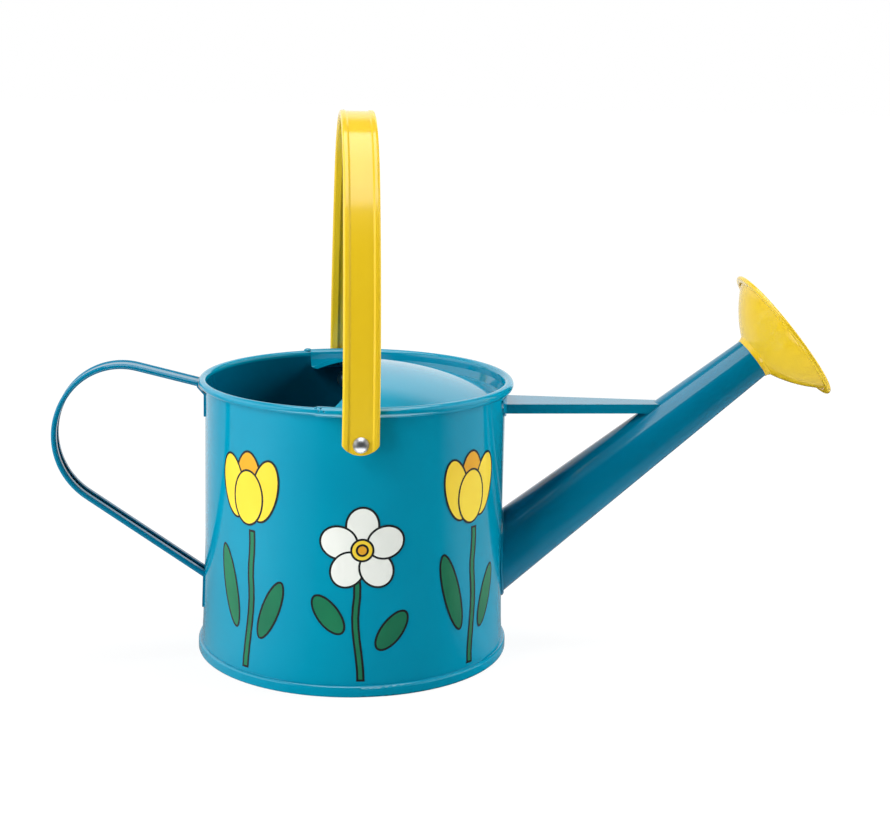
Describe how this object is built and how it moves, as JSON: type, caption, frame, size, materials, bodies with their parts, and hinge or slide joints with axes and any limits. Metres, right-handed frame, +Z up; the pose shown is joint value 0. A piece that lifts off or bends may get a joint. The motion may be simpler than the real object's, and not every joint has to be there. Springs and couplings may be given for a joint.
{
  "type": "watering can",
  "caption": "Small round sheet-steel watering can with a half cover, a straight spout with a push-on rose, a fixed rear handle and a swinging carrying bail on two rivets.",
  "frame": {"origin": "centre of the round foot, on the surface the can stands on", "axes": "+Z up along the can's axis, +X towards the spout, +Y to the side away from the viewer, so -Y is the front"},
  "size_m": [0.3467, 0.1486, 0.2394],
  "materials": {
    "can_enamel": "glossy enamel, cerulean blue",
    "bail_enamel": "glossy enamel, warm yellow",
    "rose_enamel": "glossy enamel, warm yellow",
    "rivet_steel": "bright zinc-plated steel"
  },
  "bodies": {
    "can": {"body_shell": "can_enamel", "base_plate": "can_enamel", "top_cover": "can_enamel", "spout_tube": "can_enamel", "spout_solder": "can_enamel", "spout_brace": "can_enamel", "rear_handle": "can_enamel", "rivet_front": "rivet_steel", "rivet_back": "rivet_steel", "spacer_front": "rivet_steel", "spacer_back": "rivet_steel", "washer_front": "rivet_steel", "washer_back": "rivet_steel"},
    "bail": {"bail_handle": "bail_enamel"},
    "rose": {"rose_bell": "rose_enamel", "rose_plate": "rose_enamel"}
  },
  "joints": [
    {"name": "bail_swing", "type": "hinge", "parent": "can", "child": "bail", "pos_m": [-0.0016, 0, 0.1075], "axis": [0, 1, 0], "range_deg": [-86.5, 85.2]},
    {"name": "rose_pull", "type": "slide", "parent": "can", "child": "rose", "axis": [0.7891, 0, 0.6143], "range_m": [0, 0.012]}
  ]
}
